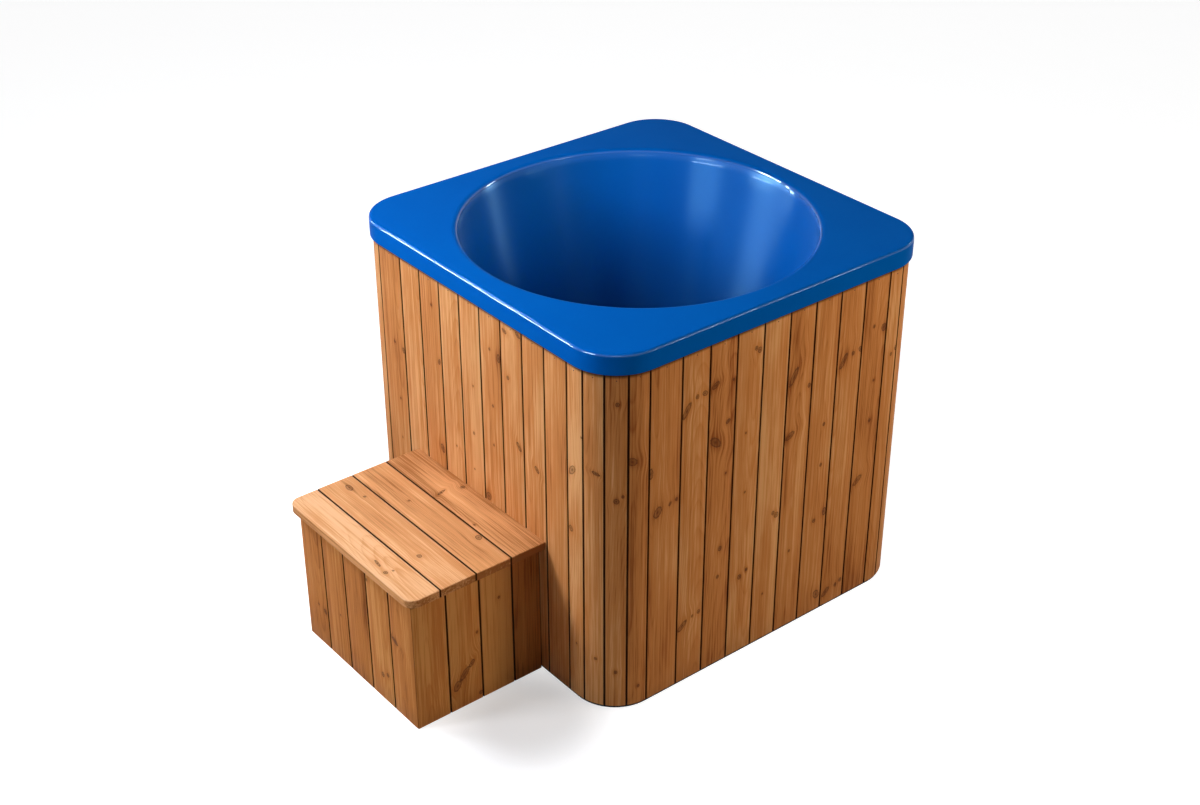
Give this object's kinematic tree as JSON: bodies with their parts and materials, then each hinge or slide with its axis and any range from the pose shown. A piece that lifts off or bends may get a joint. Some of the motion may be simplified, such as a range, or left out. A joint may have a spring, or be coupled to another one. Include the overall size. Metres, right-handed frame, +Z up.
{
  "type": "cold plunge tub",
  "caption": "Square cold plunge tub: a moulded blue liner with a round tapered bowl in a casing of upright wooden boards, with a loose wooden entry step and a drain valve.",
  "frame": {"origin": "on the floor, under the middle of the tub's square casing", "axes": "+Z up; the entry step stands at the front, towards -Y; the drain valve is at the back, towards +Y; +X is the right-hand side seen from the front"},
  "size_m": [1.1, 1.6333, 1.06],
  "materials": {
    "liner_blue": "high gloss",
    "casing_boards": "oiled satin",
    "corner_boards": "oiled satin",
    "base_black": "matte",
    "plywood": "raw",
    "frame_timber": "planed",
    "foam": "matte",
    "steel": "satin",
    "ball_steel": "polished",
    "valve_brass": "satin",
    "seat_plastic": "smooth",
    "gasket_rubber": "matte",
    "pipe_plastic": "smooth",
    "grip_red": "smooth",
    "step_boards": "oiled satin",
    "tread_boards": "oiled satin",
    "screw_zinc": "bright"
  },
  "bodies": {
    "tub": {"tub_shell": "liner_blue", "cladding_front": "casing_boards", "cladding_right": "casing_boards", "cladding_back": "casing_boards", "cladding_left": "casing_boards", "corner_boards_front_right": "corner_boards", "corner_boards_back_right": "corner_boards", "corner_boards_back_left": "corner_boards", "corner_boards_front_left": "corner_boards", "base_plate": "base_black", "bottom_ring": "plywood", "middle_ring": "plywood", "top_ring": "plywood", "rim_blocks": "frame_timber", "corner_posts": "frame_timber", "side_posts": "frame_timber", "insulation_jacket": "foam", "floor_insulation": "foam", "drain_strainer": "steel", "strainer_screw": "steel", "drain_body": "steel", "wall_plate": "steel", "plate_screws": "steel", "valve_body": "valve_brass", "packing_nut": "valve_brass", "hose_spigot": "valve_brass", "valve_seats": "seat_plastic", "drain_gasket": "gasket_rubber", "floor_gasket": "gasket_rubber", "drain_locknut": "pipe_plastic", "drain_elbow": "pipe_plastic", "drain_pipe": "pipe_plastic"},
    "drain_lever": {"valve_ball": "ball_steel", "valve_stem": "steel", "valve_lever": "steel", "lever_grip": "grip_red", "lever_nut": "steel"},
    "step": {"step_posts": "frame_timber", "step_cross_rails": "frame_timber", "step_side_rails": "frame_timber", "step_bearer": "frame_timber", "step_front_boards": "step_boards", "step_left_boards": "step_boards", "step_right_boards": "step_boards", "step_tread_1": "tread_boards", "step_tread_2": "tread_boards", "step_tread_3": "tread_boards", "step_tread_4": "tread_boards", "tread_screws": "screw_zinc"}
  },
  "joints": [
    {"name": "drain_lever_turn", "type": "hinge", "parent": "tub", "child": "drain_lever", "pos_m": [0, 0.593, 0.053], "axis": [0, 0, 1], "range_deg": [0, 90]},
    {"name": "step_slide", "type": "slide", "parent": "tub", "child": "step", "axis": [0, -1, 0], "range_m": [0, 0.4]}
  ]
}
